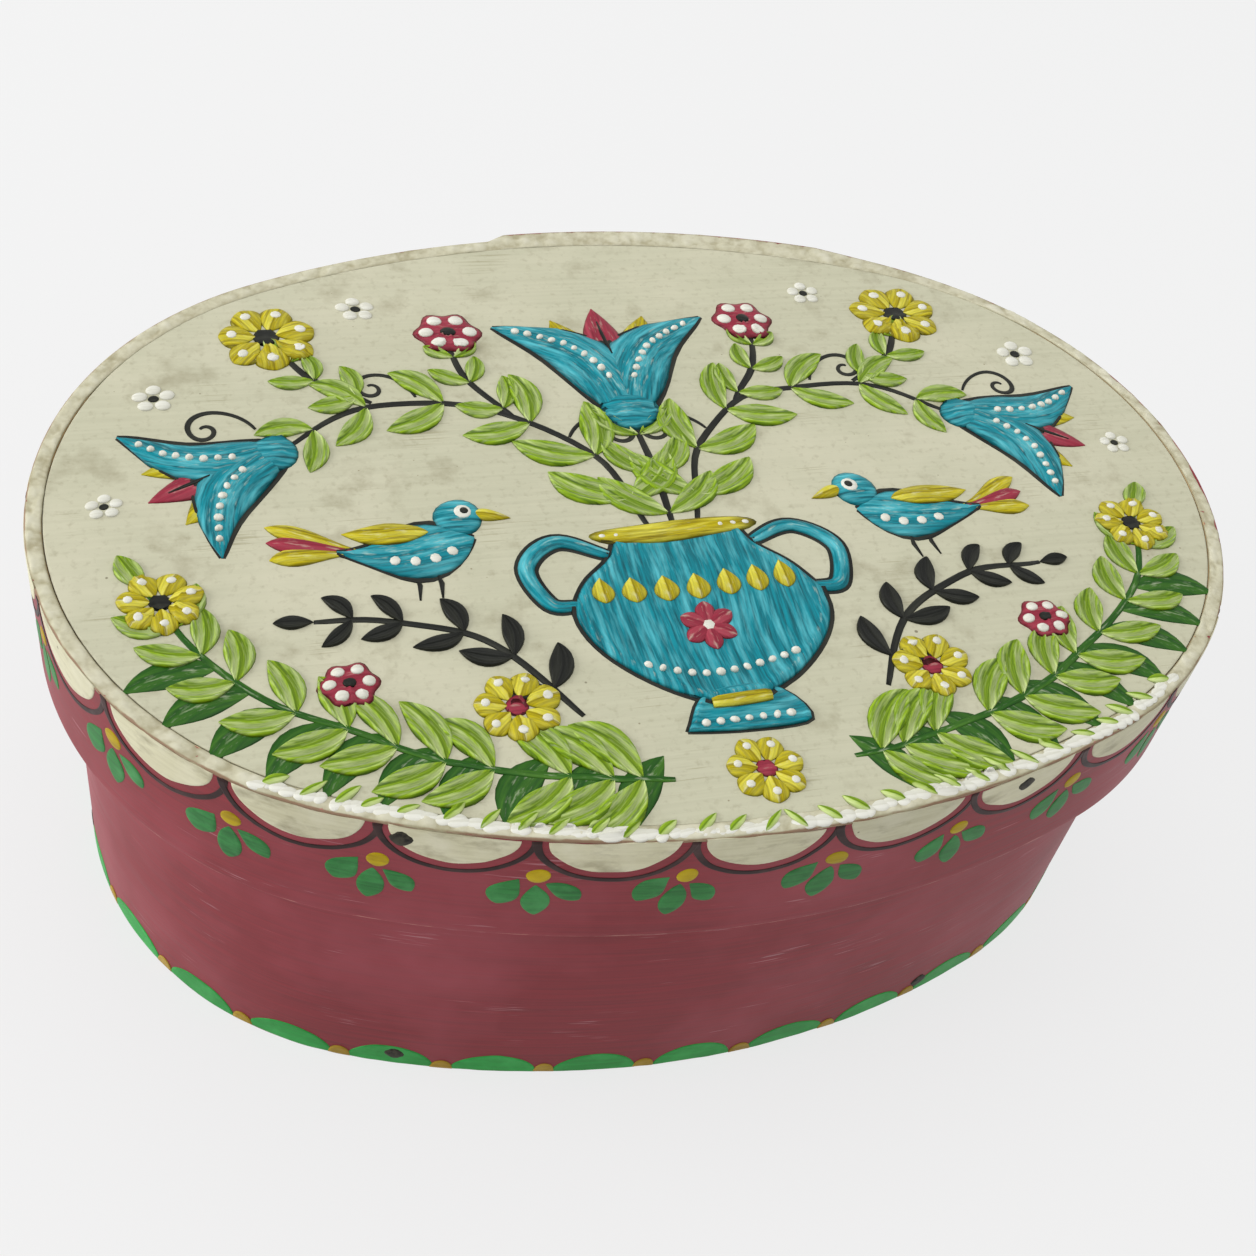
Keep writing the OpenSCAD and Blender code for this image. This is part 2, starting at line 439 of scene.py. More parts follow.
def bent_strip(name, outer, inner, low, high, materials):
    """Strip bent into an oval, painted outside and bare inside."""
    points = []
    wear = []
    for i in range(BAND_STATIONS):
        distance = PERIMETER * i / BAND_STATIONS
        section = strip_section(outer(distance), inner(distance), low, high)
        for grow, z, worn, _ in section:
            spot = wall(distance, grow)[0]
            points.append((spot.x, spot.y, z))
            wear.append(worn)
    faces = tube_faces(BAND_STATIONS, len(section))
    face_slots = [int(lining) for _, _, _, lining in section] * BAND_STATIONS
    return make_piece(name, points, faces, materials, face_slots, {"wear": wear})


def oval_board(name, edge, low, high, materials):
    """Oval board with softened edges.

    Its top and edge take the first material, and its underside the last.
    """
    r = EDGE_ROUND
    inner_rings = (0.25, 0.5, 0.75, 0.95)
    rings = [(share, 0.0, high) for share in inner_rings] + [(1.0, 2 * r, high)]
    for start, z in ((90, high - r), (0, low + r)):
        for step in range(CORNER_STEPS + 1):
            angle = math.radians(start - 90 * step / CORNER_STEPS)
            rings.append((1.0, r - r * math.cos(angle), z + r * math.sin(angle)))
    rings += [(1.0, 2 * r, low)] + [(share, 0.0, low) for share in reversed(inner_rings)]
    count = BAND_STATIONS // 2
    points = [(0.0, 0.0, high)]
    for share, inset, z in rings:
        for i in range(count):
            distance = PERIMETER * i / count
            spot = wall(distance, edge(distance) - inset)[0] * share
            points.append((spot.x, spot.y, z))
    points.append((0.0, 0.0, low))
    faces = []
    face_slots = []
    under = len(rings) - len(inner_rings) - 2
    for i in range(count):
        after = (i + 1) % count
        faces.append((0, 1 + i, 1 + after))
        face_slots.append(0)
        for k in range(len(rings) - 1):
            here = 1 + k * count
            below = here + count
            faces.append((here + i, below + i, below + after, here + after))
            face_slots.append(len(materials) - 1 if k >= under else 0)
        last = 1 + (len(rings) - 1) * count
        faces.append((len(points) - 1, last + after, last + i))
        face_slots.append(len(materials) - 1)
    return make_piece(name, points, faces, materials, face_slots)


def rim_paste(name, material):
    """Crumbly bead of paste over the top edge of the lid band.

    It bridges the seam round the board, except near the ends of the oval, where the strip has moved. It
    laps over the outer corner, where it is worn, and is chipped off that corner at the right end.
    """
    shares = [i / 10 for i in range(11)]
    points = []
    crest = []
    for i in range(RIM_STATIONS):
        distance = PERIMETER * i / RIM_STATIONS
        base = wall(distance)[0].to_3d()
        ragged = noise.noise((base + 3 * UP) / RAGGED_SPAN)
        swell = 0.5 + 0.5 * noise.noise((base + 7 * UP) / SWELL_SPAN)
        patchy = noise.noise((base + 9 * UP) / PATCH_SPAN)
        shut = 1.5 - 1.6 * abs(base.x) / HALF_LENGTH + 0.6 * base.y / HALF_WIDTH + 0.7 * patchy
        chipped = 9 * (base.x / HALF_LENGTH - CHIPPED_FROM) + ragged
        outer = lid_face(distance) - 0.05 - 0.5 * min(1.0, max(0.0, chipped))
        shut = min(1.0, max(0.0, shut))
        inner = LID_INSIDE + 0.03 - 0.45 * shut + 0.08 * ragged
        skirt = wall(distance, outer + 0.1)[0].to_3d()
        points.append(skirt + UP * (BOX_HEIGHT - 0.35 - 0.2 * ragged))
        crest.append(0.0)
        for share in shares:
            spot = wall(distance, outer + (inner - outer) * share)[0].to_3d()
            crumb = max(0.0, 0.8 - noise.voronoi(spot / CRUMB_SPAN)[0][0])
            fine = noise.noise((spot + 5 * UP) / GRAIN_SPAN)
            fullness = max(0.0, 1 - abs(2 * share - 1) ** 3) ** 0.5
            height = fullness * (0.1 + CRUMB_HEIGHT * crumb * swell + 0.1 * fine)
            points.append(spot + UP * (BOX_HEIGHT - SUNK + height))
            crest.append(min(1.0, max(0.0, height / 0.4)))
        crest[-1] = 0.5 * shut
    width = 1 + len(shares)
    wear = ([1.0, 1.0, 0.6] + [0.0] * (width - 3)) * RIM_STATIONS
    marks = {"crest": crest, "wear": wear}
    return make_piece(name, points, tube_faces(RIM_STATIONS, width), [material], marks=marks)


def pegs(name, face, track, start, stray, height, material):
    """Wooden pegs, whittled four-sided and slightly proud, driven inwards through a band."""
    sides = PEG_SIDES
    points = []
    faces = []
    for number in range(PEG_COUNT):
        distance = start + number * outline_length(track) / PEG_COUNT + (number % 2) * stray
        spot, normal = wall(distance, face(distance), track)
        side = Vector((-normal.y, normal.x))
        first = len(points)
        for depth, share in PEG_PROFILE:
            for i in range(sides):
                angle = 2 * math.pi * i / sides
                uneven = 0.1 * noise.noise(Vector((3.3 * i, number, height)))
                radius = PEG_RADIUS * share * (1.05 + 0.07 * math.cos(4 * angle) + uneven)
                flat = spot + normal * depth + side * radius * math.cos(angle)
                points.append((flat.x, flat.y, height + radius * math.sin(angle)))
        for k in range(len(PEG_PROFILE) - 1):
            low = first + k * sides
            for i in range(sides):
                after = (i + 1) % sides
                faces.append((low + i, low + after, low + sides + after, low + sides + i))
        faces.append([first + sides - 1 - i for i in range(sides)])
        faces.append([len(points) - sides + i for i in range(sides)])
    return make_piece(name, points, faces, [material])


def flowing(points, steps=8):
    """Smooth path through a few points."""
    knots = [Vector(point) for point in points]
    ends = [2 * knots[0] - knots[1]] + knots + [2 * knots[-1] - knots[-2]]
    path = []
    for before, start, stop, after in zip(ends, ends[1:], ends[2:], ends[3:]):
        pull = 2 * before - 5 * start + 4 * stop - after
        twist = 3 * start - before - 3 * stop + after
        for i in range(steps):
            t = i / steps
            path.append(0.5 * (2 * start + (stop - before) * t + pull * t**2 + twist * t**3))
    return path + [knots[-1]]


def headed(angle, length=1.0):
    """Vector in a direction given in degrees."""
    return Vector((math.cos(math.radians(angle)), math.sin(math.radians(angle)))) * length


def bowed(base, tip, bend, shares):
    """Points at shares of the way from base to tip, on a path bowed sideways by bend."""
    reach = Vector(tip) - Vector(base)
    side = Vector((-reach.y, reach.x))
    return [Vector(base) + reach * t + side * (bend * math.sin(math.pi * t)) for t in shares]


class Paint:
    """Paint of one colour, gathered shape by shape and then made into one mesh."""

    def __init__(self, place=Vector.to_3d):
        self.place = place
        self.turned = False
        self.points = []
        self.faces = []
        self.crest = []
        self.flow = []

    def point(self, spot, share, height, flow):
        """Point at a share of the height, or just under the ground where the share is zero."""
        rise = share * height if share > 0 else -SUNK
        self.points.append(self.place(spot) + UP * rise)
        self.crest.append(share)
        self.flow.append(flow)

    def face(self, *corners):
        """Face, with its corners the other way round on a mirrored side."""
        self.faces.append(corners[::-1] if self.turned else corners)

    def blade(self, spine, widths, height, section=DOMED):
        """Stroke, leaf or petal along a spine."""
        first = len(self.points)
        across = [(-out, share) for out, share in section[:0:-1]] + list(section)
        travelled = 0.0
        for i, (here, width) in enumerate(zip(spine, widths)):
            along = (spine[min(i + 1, len(spine) - 1)] - spine[max(i - 1, 0)]).normalized()
            side = Vector((-along.y, along.x))
            travelled += (here - spine[max(i - 1, 0)]).length
            fullness = height * math.sqrt(width / max(widths))
            for out, share in across:
                self.point(here + side * out * width / 2, share, fullness, (travelled, out * width / 2))
        wide = len(across)
        last = len(self.points) - wide
        for here in range(first, last, wide):
            for k in range(wide - 1):
                self.face(here + k, here + wide + k, here + wide + k + 1, here + k + 1)
            self.face(here, here + wide - 1, here + 2 * wide - 1, here + wide)
        self.face(*range(first, first + wide))
        self.face(*range(last + wide - 1, last - 1, -1))

    def patch(self, outline, height, section=FLAT, along=0.0):
        """Patch inside a closed outline. along is the brush's direction, in degrees."""
        first = len(self.points)
        count = len(outline)
        centre = sum(outline, Vector((0.0, 0.0))) / count
        turns = zip(outline, outline[1:] + outline[:1])
        if sum(here.cross(after) for here, after in turns) < 0:
            outline = outline[::-1]
        brush = headed(along)
        side = headed(along + 90)
        self.point(centre, section[0][1], height, (brush.dot(centre), side.dot(centre)))
        for out, share in section[1:]:
            for corner in outline:
                spot = centre + (corner - centre) * out
                self.point(spot, share, height, (brush.dot(spot), side.dot(spot)))
        for i in range(count):
            after = (i + 1) % count
            self.face(first, first + 1 + i, first + 1 + after)
            for k in range(len(section) - 2):
                here = first + 1 + k * count
                out = here + count
                self.face(here + i, out + i, out + after, here + after)
        self.face(*range(len(self.points) - 1, len(self.points) - 1 - count, -1))

    def dot(self, centre, radius, height, tall=1.0, sides=12):
        """Round or oval blob."""
        spokes = [2 * math.pi * i / sides for i in range(sides)]
        outline = [Vector(centre) + Vector((math.cos(a), tall * math.sin(a))) * radius for a in spokes]
        self.patch(outline, height, DOMED)

    def leaf(self, base, tip, width, height, belly=0.55, bend=0.0, blunt=0.85, section=DOMED):
        """Leaf or petal, widest at belly and bowed sideways by bend. Returns its edges."""
        power = math.log(0.5) / math.log(belly)
        shares = [0.5 - 0.5 * math.cos(math.pi * i / LEAF_STEPS) for i in range(LEAF_STEPS + 1)]
        spine = bowed(base, tip, bend, shares)
        widths = [width * max(0.02, math.sin(math.pi * t**power)) ** blunt for t in shares]
        self.blade(spine, widths, height, section)
        reach = spine[-1] - spine[0]
        across = Vector((-reach.y, reach.x)).normalized() / 2
        return [[here + across * wide * turn for here, wide in zip(spine, widths)] for turn in (1, -1)]

    def line(self, path, width, height, taper=0.35):
        """Drawn line that is narrower towards both ends."""
        last = len(path) - 1
        fullness = [math.sin(math.pi * i / last) ** 0.5 for i in range(last + 1)]
        self.blade(path, [width * (taper + (1 - taper) * share) for share in fullness], height)

    def piece(self, name, material):
        """Object of all the shapes."""
        marks = {"crest": self.crest}
        return make_piece(name, self.points, self.faces, [material], marks=marks, flow=self.flow)


def guide(name, paths, closed=False):
    """Guide curve of one or more paths in millimetres, for the node trees."""
    curve = bpy.data.curves.new(name, "CURVE")
    curve.dimensions = "3D"
    for path in paths:
        spline = curve.splines.new("POLY")
        spline.points.add(len(path) - 1)
        spline.use_cyclic_u = closed
        for target, point in zip(spline.points, path):
            target.co = (Vector(point) * MM).to_4d()
    holder = bpy.data.objects.new(name, curve)
    bpy.context.collection.objects.link(holder)
    return holder


def new_tree(name, inputs):
    """Geometry node tree with named inputs, and the sockets of its input node."""
    tree = bpy.data.node_groups.new(name, "GeometryNodeTree")
    for socket, kind in [("Geometry", "Geometry")] + inputs:
        tree.interface.new_socket(socket, in_out="INPUT", socket_type="NodeSocket" + kind)
    tree.interface.new_socket("Geometry", in_out="OUTPUT", socket_type="NodeSocketGeometry")
    return tree, add(tree, "NodeGroupInput").outputs


def strewn(tree, given, points, tilt, small, large):
    """A motif on every point, turned by up to tilt, sized from small to large, with its own tint."""
    chance = "FunctionNodeRandomValue"
    back = add(tree, "ShaderNodeVectorMath", {0: tilt, "Scale": -1.0}, operation="SCALE").outputs[0]
    inputs = {0: back, 1: tilt, "Seed": given["Seed"]}
    turn = add(tree, chance, inputs, data_type="FLOAT_VECTOR").outputs[0]
    inputs = {0: small, 1: large, "Seed": given["Seed"]}
    size = add(tree, chance, inputs, data_type="FLOAT_VECTOR").outputs[0]
    inputs = {"Points": points, "Instance": given["Geometry"], "Rotation": turn, "Scale": size}
    motifs = add(tree, "GeometryNodeInstanceOnPoints", inputs).outputs[0]
    tint = add(tree, chance, {"Seed": given["Seed"]}, data_type="FLOAT").outputs[1]
    inputs = {"Geometry": motifs, "Name": "tint", "Value": tint}
    settings = {"data_type": "FLOAT", "domain": "INSTANCE"}
    motifs = add(tree, "GeometryNodeStoreNamedAttribute", inputs, **settings).outputs[0]
    return add(tree, "GeometryNodeRealizeInstances", {"Geometry": motifs}).outputs[0]


def painted(tree, given, geometry):
    """Ends a tree: its geometry gets the paint."""
    done = add(tree, "GeometryNodeSetMaterial", {"Geometry": geometry, "Material": given["Paint"]})
    add(tree, "NodeGroupOutput", {"Geometry": done.outputs[0]})


def frieze_tree():
    """Tree that repeats a flat motif along a closed path and wraps it round the wall.

    The motif's X runs along the path, its Y goes up and its Z stands out of the wall. Sway, tilt and
    waver are how far the painter's hand strays in place, angle and outline.
    """
    sockets = [("Path", "Object"), ("Count", "Int"), ("Start", "Float"), ("Pitch", "Float")]
    sockets += [("Height", "Float"), ("Sway", "Vector"), ("Tilt", "Vector"), ("Waver", "Float")]
    sockets += [("Seed", "Int"), ("Paint", "Material")]
    tree, given = new_tree("wrapped_frieze", sockets)
    vector = "ShaderNodeVectorMath"
    start = add(tree, "ShaderNodeCombineXYZ", {"X": given["Start"]}).outputs[0]
    step = add(tree, "ShaderNodeCombineXYZ", {"X": given["Pitch"]}).outputs[0]
    inputs = {"Count": given["Count"], "Start Location": start, "Offset": step}
    row = add(tree, "GeometryNodeMeshLine", inputs).outputs[0]
    back = add(tree, vector, {0: given["Sway"], "Scale": -1.0}, operation="SCALE").outputs[0]
    inputs = {0: back, 1: given["Sway"], "Seed": given["Seed"]}
    sway = add(tree, "FunctionNodeRandomValue", inputs, data_type="FLOAT_VECTOR").outputs[0]
    row = add(tree, "GeometryNodeSetPosition", {"Geometry": row, "Offset": sway}).outputs[0]
    motifs = strewn(tree, given, row, given["Tilt"], (0.95, 0.94, 0.8), (1.04, 1.05, 1.1))

    flat = add(tree, "GeometryNodeInputPosition").outputs[0]
    inputs = {"Vector": flat, "Scale": 1 / (WAVER_SPAN * MM), "Detail": 1.0}
    wobble = add(tree, "ShaderNodeTexNoise", inputs).outputs["Color"]
    wobble = add(tree, vector, {0: wobble, 1: (0.5, 0.5, 0.5)}, operation="SUBTRACT").outputs[0]
    wobble = add(tree, vector, {0: wobble, 1: (1, 1, 0)}, operation="MULTIPLY").outputs[0]
    wobble = add(tree, vector, {0: wobble, "Scale": given["Waver"]}, operation="SCALE").outputs[0]
    motifs = add(tree, "GeometryNodeSetPosition", {"Geometry": motifs, "Offset": wobble}).outputs[0]

    place = add(tree, "ShaderNodeSeparateXYZ", {0: flat}).outputs
    path = add(tree, "GeometryNodeObjectInfo", {"Object": given["Path"]}).outputs["Geometry"]
    length = add(tree, "GeometryNodeCurveLength", {"Curve": path}).outputs[0]
    along = add(tree, "ShaderNodeMath", {0: place["X"], 1: length, 2: 0.0}, operation="WRAP").outputs[0]
    inputs = {"Curves": path, "Length": along}
    there = add(tree, "GeometryNodeSampleCurve", inputs, mode="LENGTH").outputs
    inputs = {0: there["Tangent"], 1: UP}
    outward = add(tree, vector, inputs, operation="CROSS_PRODUCT").outputs[0]
    proud = add(tree, vector, {0: outward, "Scale": place["Z"]}, operation="SCALE").outputs[0]
    inputs = {0: place["Y"], 1: given["Height"]}
    height = add(tree, "ShaderNodeMath", inputs, operation="ADD").outputs[0]
    raised = add(tree, "ShaderNodeCombineXYZ", {"Z": height}).outputs[0]
    spot = add(tree, vector, {0: there["Position"], 1: proud}, operation="ADD").outputs[0]
    spot = add(tree, vector, {0: spot, 1: raised}, operation="ADD").outputs[0]
    wrapped = add(tree, "GeometryNodeSetPosition", {"Geometry": motifs, "Position": spot}).outputs[0]
    painted(tree, given, wrapped)
    return tree


def bead_tree():
    """Tree that sets a drop of paint at every step along the paths of a guide."""
    sockets = [("Path", "Object"), ("Spacing", "Float"), ("Seed", "Int"), ("Paint", "Material")]
    tree, given = new_tree("bead_rows", sockets)
    path = add(tree, "GeometryNodeObjectInfo", {"Object": given["Path"]}).outputs["Geometry"]
    inputs = {"Curve": path, "Length": given["Spacing"]}
    spots = add(tree, "GeometryNodeResampleCurve", inputs, mode="LENGTH").outputs[0]
    drops = strewn(tree, given, spots, (0, 0, math.pi), (0.75, 0.75, 0.7), (1.15, 1.15, 1.2))
    painted(tree, given, drops)
    return tree


def grown(piece, tree, **values):
    """Runs a node tree on a piece and keeps the result as its plain mesh."""
    modifier = piece.modifiers.new(tree.name, "NODES")
    modifier.node_group = tree
    for item in tree.interface.items_tree:
        if item.in_out == "INPUT" and item.name in values:
            modifier[item.identifier] = values[item.name]
    graph = bpy.context.evaluated_depsgraph_get()
    mesh = bpy.data.meshes.new_from_object(piece.evaluated_get(graph), depsgraph=graph)
    piece.modifiers.remove(modifier)
    mesh.name = piece.name
    piece.data = mesh
    return piece


# Painted edges of the sides, in flat motifs: X along the wall, Y up from the frieze's line

SCALLOP_COUNT = 25
SCALLOP_CUSP = -13.6
SCALLOP_PITCH = PERIMETER / SCALLOP_COUNT
SCALLOP_INSET = 0.3
SCALLOP_LINE_DROP = 8.8
SCALLOP_LINE_WIDTH = 0.9
SPRIG_SHIFT = 0.7
SPRIG_DROP = 8.6
FOOT_COUNT = 30
FOOT_DOT = -8.4
FOOT_INSET = 0.2
FOOT_PITCH = outline_length(BODY_OUTSIDE) / FOOT_COUNT
COAT = 0.11
# Span over which a painted edge wavers
WAVER_SPAN = 7.0
FRIEZE_SEED = 5
# Widest cell of a patch, small enough to bend over the lap
CELL = 0.7


def half_moon(left, right, tall, coat):
    """Patch between a straight edge and a round one, which hangs below it if tall is negative."""
    paint = Paint()
    steps = 30
    outline = []
    for i in range(steps):
        angle = math.pi * i / steps
        reach = right if 2 * i < steps else left
        outline.append(Vector((reach * math.cos(angle), tall * math.sin(angle) ** 1.1)))
    outline += [Vector((-left + (left + right) * i / steps, 0.0)) for i in range(steps)]
    rings = math.ceil(max(left, right) / CELL)
    section = [(i / rings, 1.0) for i in range(rings)] + [(0.97, 0.9), (1.0, 0.0)]
    paint.patch(outline, coat, section)
    return paint


def scallop_line():
    """Dark line from cusp to cusp below a scallop, pressed thick where the brush is set down."""
    paint = Paint()
    steps = 36
    path = []
    widths = []
    for i in range(steps + 1):
        angle = math.pi * i / steps
        drop = -0.1 - SCALLOP_LINE_DROP * math.sin(angle) ** 1.05
        path.append(Vector((-SCALLOP_PITCH / 2 * math.cos(angle), drop)))
        press = 0.6 if 2 * i < steps else 0.1
        widths.append(SCALLOP_LINE_WIDTH + press * (1 - math.sin(angle)) ** 1.5)
    paint.blade(path, widths, COAT, FLAT)
    return paint


def sprig_leaves():
    """Three leaves that spread below the dot of a sprig."""
    paint = Paint()
    for base, tip, width, belly, bend in (
        ((-0.4, -2.2), (-0.5, -9.8), 4.2, 0.54, 0.0),
        ((-2.8, -0.6), (-5.9, -6.8), 4.8, 0.6, -0.05),
        ((1.1, -2.0), (5.5, -6.2), 3.8, 0.58, 0.06),
    ):
        paint.leaf(base, tip, width, COAT, belly, bend, 0.65, FLAT)
    return paint


def sprig_dot():
    """Ochre dot of a sprig."""
    paint = Paint()
    paint.dot((0.0, 0.0), 1.8, 1.6 * COAT, tall=0.95, sides=20)
    return paint


# Raised painting on the lid board. A raised form's height is the middle of 0.5 to 0.8 mm, which is read
# from the width of its shaded sides in the photograph.

RELIEF = 0.65
DROP = 0.4
LINE = 0.16
# How the painter's hand strays: seed, distance and span
HAND_SEED = 4
HAND_STRAY = 0.9
HAND_SPAN = 13.0
# Leaves along the front edge and dabs on the rim, on each side of the middle
BORDER_LEAVES = 10
BORDER_PITCH = 8.6
DAB_COUNT = 44
DAB_PITCH = 1.7
# Drops in rows: radius, height, spacing and seed
BEAD_RADIUS = 0.75
BEAD_HEIGHT = 0.55
BEAD_SPACING = 2.1
BEAD_SEED = 3


class Picture:
    """Raised painting in several colours. Each layer lies on what was painted before it."""

    def __init__(self):
        self.paints = {}
        self.rows = []
        self.side = 1
        self.below = None

    def __getitem__(self, colour):
        paint = self.paints.setdefault(colour, Paint(self.place))
        paint.turned = self.side < 0
        return paint

    def place(self, spot):
        """Where a point drawn for the right half lands: on the side in hand, a little astray."""
        flat = Vector((self.side * spot.x, spot.y, 0.0))
        astray = noise.noise_vector(flat / HAND_SPAN) * HAND_STRAY
        above = flat + Vector((astray.x, astray.y, 2 * BOX_HEIGHT))
        hit = self.below and self.below.ray_cast(above, -UP)[0]
        above.z = hit.z if hit else BOX_HEIGHT
        return above

    def dry(self):
        """Ends a layer."""
        points = []
        faces = []
        for paint in self.paints.values():
            first = len(points)
            points += paint.points
            faces += [[first + corner for corner in face] for face in paint.faces]
        self.below = BVHTree.FromPolygons(points, faces)

    def row(self, path):
        """Row of white drops along a path."""
        self.rows.append([self.place(spot) for spot in path])


def border(picture):
    """Thin dark leaves along the front edge of the board."""
    for i in range(BORDER_LEAVES):
        root = wall(16.0 + BORDER_PITCH * i, -15.0)[0]
        tip = wall(22.5 + BORDER_PITCH * i, -1.7)[0]
        picture["green"].leaf(root, tip, 6.0, LINE, 0.5, 0.1)


def rim_dabs(picture):
    """White dabs and a few blades of grass on the rim at the front."""
    for i in range(DAB_COUNT):
        chance = noise.noise_vector(Vector((2.3 * i, 0.5, 0.5)))
        start = DAB_PITCH * i + 2 * chance.x
        stop = start + 2 + 4 * abs(chance.z)
        dab = wall(start, -1.8 + 0.8 * chance.y)[0], wall(stop, -1.3 + 0.8 * chance.y)[0]
        picture["white"].leaf(*dab, 1.8 + 1.5 * abs(chance.x), 0.85 * DROP, blunt=0.4)
        blade = wall(start - 1.5, -4.2 + 2 * chance.x)[0], wall(start + 1.5, -1.2 + chance.z)[0]
        if i % 3 == 1:
            picture["lime"].leaf(*blade, 1.5 + chance.y, 1.4 * DROP, blunt=0.6)


def spray(picture, layer, points, pairs, length, width, stem, foliage="lime"):
    """Stem with pairs of leaves that grow smaller towards its tip, which ends in a leaf."""
    if layer:
        return
    path = flowing(points)
    last = len(path) - 1
    picture[stem].line(path, 1.4, LINE, 0.6)
    for i in range(pairs):
        here = 1 + round((last - 2) * (0.08 + 0.84 * i / (pairs - 1)))
        ahead = path[here + 1] - path[here - 1]
        heading = math.degrees(math.atan2(ahead.y, ahead.x))
        size = 1.0 - 0.35 * here / last
        for turn in (1, -1):
            tip = path[here] + headed(heading + turn * (46 - 8 * (i % 2)), length * size)
            leaf = (path[here], tip, width * size, RELIEF, 0.52, turn * 0.1)
            picture[foliage].leaf(*leaf, section=VEINED)
    tip = path[-1] + (path[-1] - path[-3]).normalized() * length * 0.6
    picture[foliage].leaf(path[-1], tip, width * 0.65, RELIEF, section=VEINED)


def daisy(picture, layer, centre, radius, heart):
    """Open yellow flower of rounded petals with a drop on each, about a dark heart."""
    centre = Vector(centre)
    petals = 7
    for i in range(petals):
        way = headed(360 * i / petals + 11)
        if layer == 1:
            petal = (centre + way * radius * 0.2, centre + way * radius)
            picture["yellow"].leaf(*petal, radius * 0.72, RELIEF, 0.62, blunt=0.6)
        elif layer == 2:
            picture["white"].dot(centre + way * radius * 0.72, radius * 0.12, 0.5 * DROP, sides=8)
    if layer == 2:
        picture[heart].dot(centre, radius * 0.27, DROP)


def rosette(picture, layer, centre, radius):
    """Crimson flower with a scalloped edge and a ring of white drops."""
    centre = Vector(centre)
    lobes = 6
    if layer == 1:
        turns = [9 * i for i in range(40)]
        edge = [radius * (0.92 + 0.08 * math.cos(math.radians(lobes * turn))) for turn in turns]
        picture["crimson"].patch([centre + headed(*spot) for spot in zip(turns, edge)], RELIEF, DOMED)
    elif layer == 2:
        for i in range(lobes):
            picture["white"].dot(centre + headed(360 * i / lobes, radius * 0.6), radius * 0.22, DROP)
        picture["black"].dot(centre, radius * 0.22, DROP)


def tulip(picture, layer, base, heading, size):
    """Tulip with turquoise outer petals, yellow inner ones and a crimson heart."""
    base = Vector(base)
    if layer == 0:
        for turn in (1, -1):
            inner = base + headed(heading + turn * 17, size * 0.95)
            picture["yellow"].leaf(base, inner, size * 0.34, RELIEF, 0.5)
        picture["crimson"].leaf(base, base + headed(heading, size), size * 0.3, RELIEF, 0.55)
    elif layer == 1:
        for turn in (1, -1):
            outer = base + headed(heading + turn * 36, size * 1.08)
            edges = picture["turquoise"].leaf(base, outer, size * 0.4, RELIEF, 0.4, -turn * 0.17)
            for edge in edges:
                picture["black"].line(edge, 1.1, 0.5 * LINE, 0.7)
        picture["turquoise"].dot(base + headed(heading, size * 0.1), size * 0.17, RELIEF, sides=20)
    else:
        for turn in (1, -1):
            outer = base + headed(heading + turn * 36, size * 1.08)
            picture.row(bowed(base, outer, -turn * 0.17, (0.3, 0.45, 0.6, 0.75, 0.88)))
        vein = [base + headed(heading, size * t) for t in (0.55, 0.65, 0.75, 0.86)]
        picture["black"].line(vein, 0.8, LINE)


def tendril(picture, layer, start, heading, size, turn):
    """Black curl."""
    if layer:
        return
    path = []
    spot = Vector(start)
    for i in range(40):
        path.append(spot.copy())
        spot += headed(heading + turn * (4 * i + 0.22 * i * i), size * 0.055 * (1 - 0.016 * i))
    picture["black"].line(path, 1.0, LINE, 0.5)


def floret(picture, layer, centre, radius):
    """Small flower of five white drops."""
    if layer == 1:
        for i in range(5):
            spot = Vector(centre) + headed(72 * i + 18, radius * 0.62)
            picture["white"].dot(spot, radius * 0.36, DROP)
    elif layer == 2:
        picture["black"].dot(centre, radius * 0.26, 0.5 * DROP)


def bird(picture, layer, spot, size):
    """Small bird that faces the middle of the board."""

    def at(x, y):
        return Vector(spot) + Vector((-x, y)) * size

    if layer == 0:
        for lift, colour in ((0.32, "yellow"), (0.15, "crimson"), (-0.02, "yellow")):
            picture[colour].leaf(at(-0.35, 0.05), at(-1.02, lift), size * 0.18, RELIEF, 0.7)
        for x in (-0.02, 0.14):
            picture["black"].line([at(x, -0.2), at(x + 0.02, -0.34), at(x, -0.48)], 0.9, LINE)
    elif layer == 1:
        body = (at(-0.55, 0.04), at(0.5, 0.08), size * 0.56, RELIEF, 0.6, 0.08)
        for edge in picture["turquoise"].leaf(*body):
            picture["black"].line(edge, 1.1, 0.5 * LINE, 0.7)
        picture["turquoise"].dot(at(0.42, 0.3), size * 0.2, RELIEF, sides=20)
        picture["yellow"].leaf(at(0.56, 0.32), at(0.84, 0.24), size * 0.13, RELIEF, 0.3)
    else:
        picture["yellow"].leaf(at(0.16, 0.14), at(-0.5, 0.24), size * 0.26, RELIEF, 0.45)
        picture["white"].dot(at(0.46, 0.33), size * 0.075, 0.5 * DROP)
        picture["black"].dot(at(0.47, 0.33), size * 0.042, 0.9 * DROP)
        for x, y in ((0.3, -0.06), (0.16, -0.12), (0.0, -0.13), (-0.16, -0.1)):
            picture["white"].dot(at(x, y), size * 0.045, 0.7 * DROP, sides=8)


